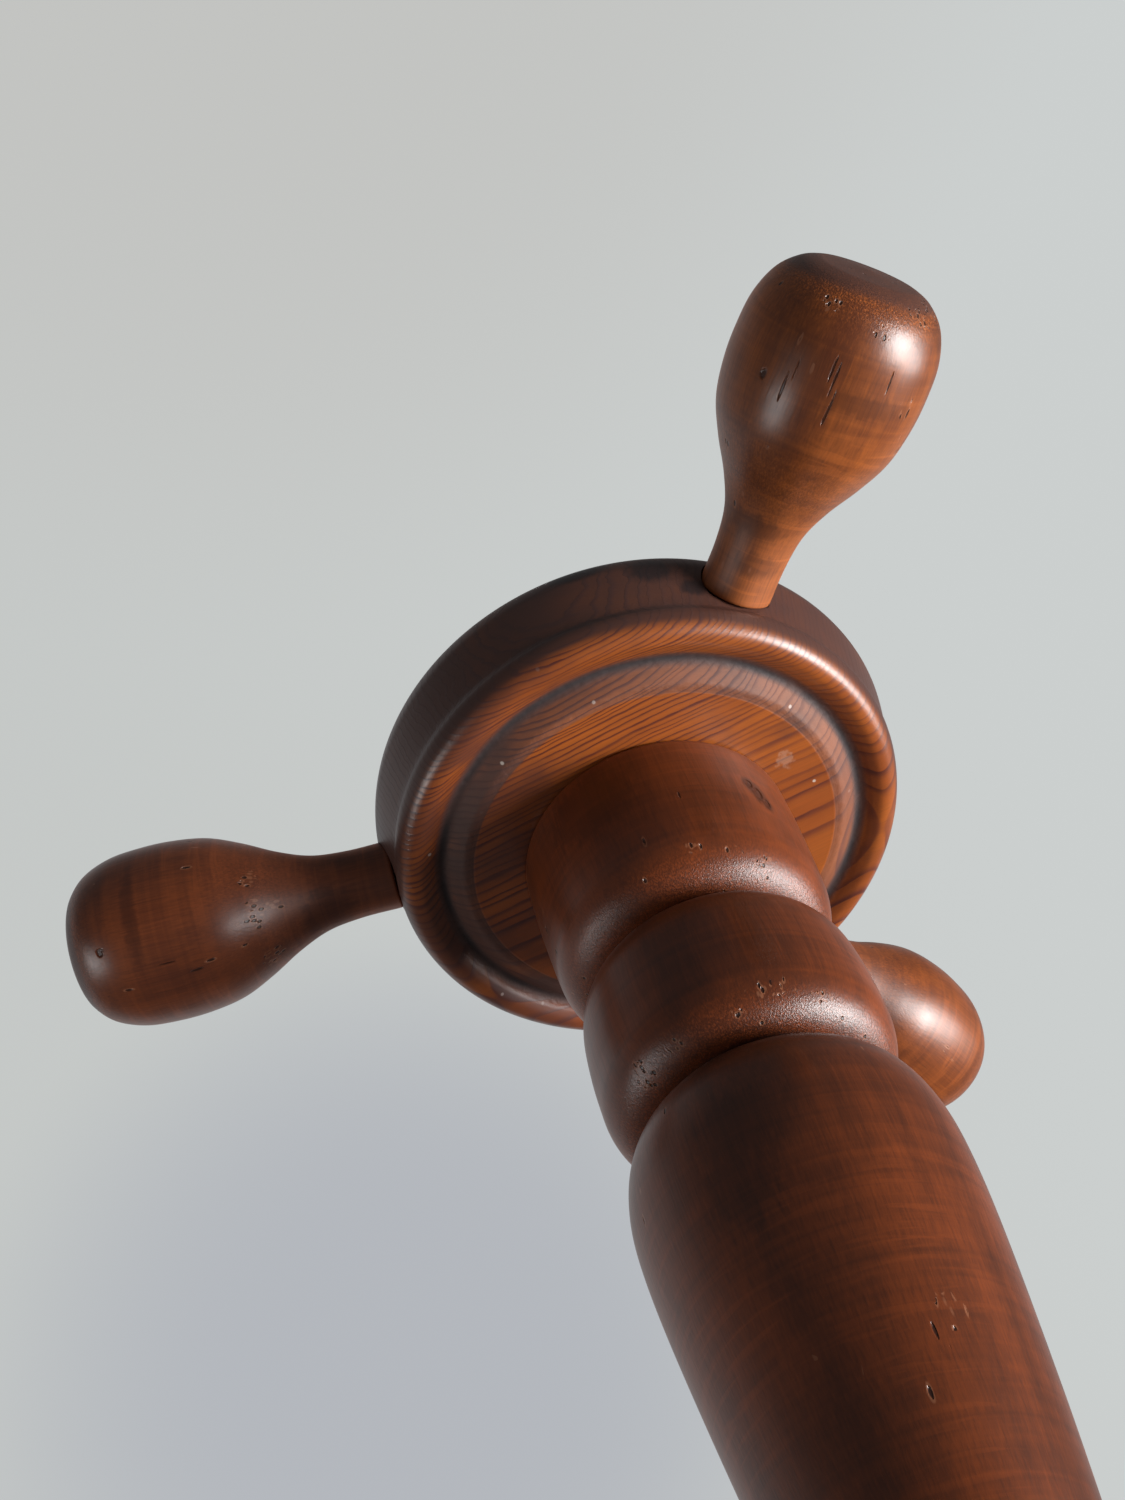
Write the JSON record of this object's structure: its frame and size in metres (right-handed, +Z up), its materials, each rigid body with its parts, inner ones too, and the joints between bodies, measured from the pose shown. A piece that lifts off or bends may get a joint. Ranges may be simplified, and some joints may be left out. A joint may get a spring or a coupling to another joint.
{
  "type": "coat stand",
  "caption": "Turned wooden coat stand: a moulded head disc with bulb-ended pegs in its rim, a turned column joined at mid height, and a moulded round base on bun feet.",
  "frame": {"origin": "on the floor, at the column's axis", "axes": "+Z up along the column; +X to the right as the picture is seen, and -Y towards its viewer; the three pegs stand at -52, 68 and 190 degrees from +X"},
  "size_m": [0.4, 0.4, 1.7509],
  "materials": {
    "disc_wood": "satin lacquer over stained pine with close growth rings",
    "peg_wood": "satin lacquer over stained, turned hardwood",
    "column_wood": "satin lacquer over dark red-brown stained, turned hardwood",
    "steel": "plain zinc-plated screws, bolt, stud and washers",
    "brass": "plain turned threaded inserts",
    "felt": "pressed felt pads"
  },
  "bodies": {
    "root": {"head_disc": "disc_wood", "peg_1": "peg_wood", "peg_2": "peg_wood", "peg_3": "peg_wood", "peg_screw_1": "steel", "peg_screw_2": "steel", "peg_screw_3": "steel", "head_washer": "steel", "head_screw": "steel", "top_cap": "disc_wood", "column_upper": "column_wood", "column_lower": "column_wood", "joint_stud": "steel", "joint_insert_upper": "brass", "joint_insert_lower": "brass", "base_disc": "disc_wood", "base_washer": "steel", "base_bolt": "steel", "foot_1": "column_wood", "foot_2": "column_wood", "foot_3": "column_wood", "foot_4": "column_wood", "foot_screw_1": "steel", "foot_screw_2": "steel", "foot_screw_3": "steel", "foot_screw_4": "steel", "floor_pad_1": "felt", "floor_pad_2": "felt", "floor_pad_3": "felt", "floor_pad_4": "felt"}
  },
  "joints": []
}
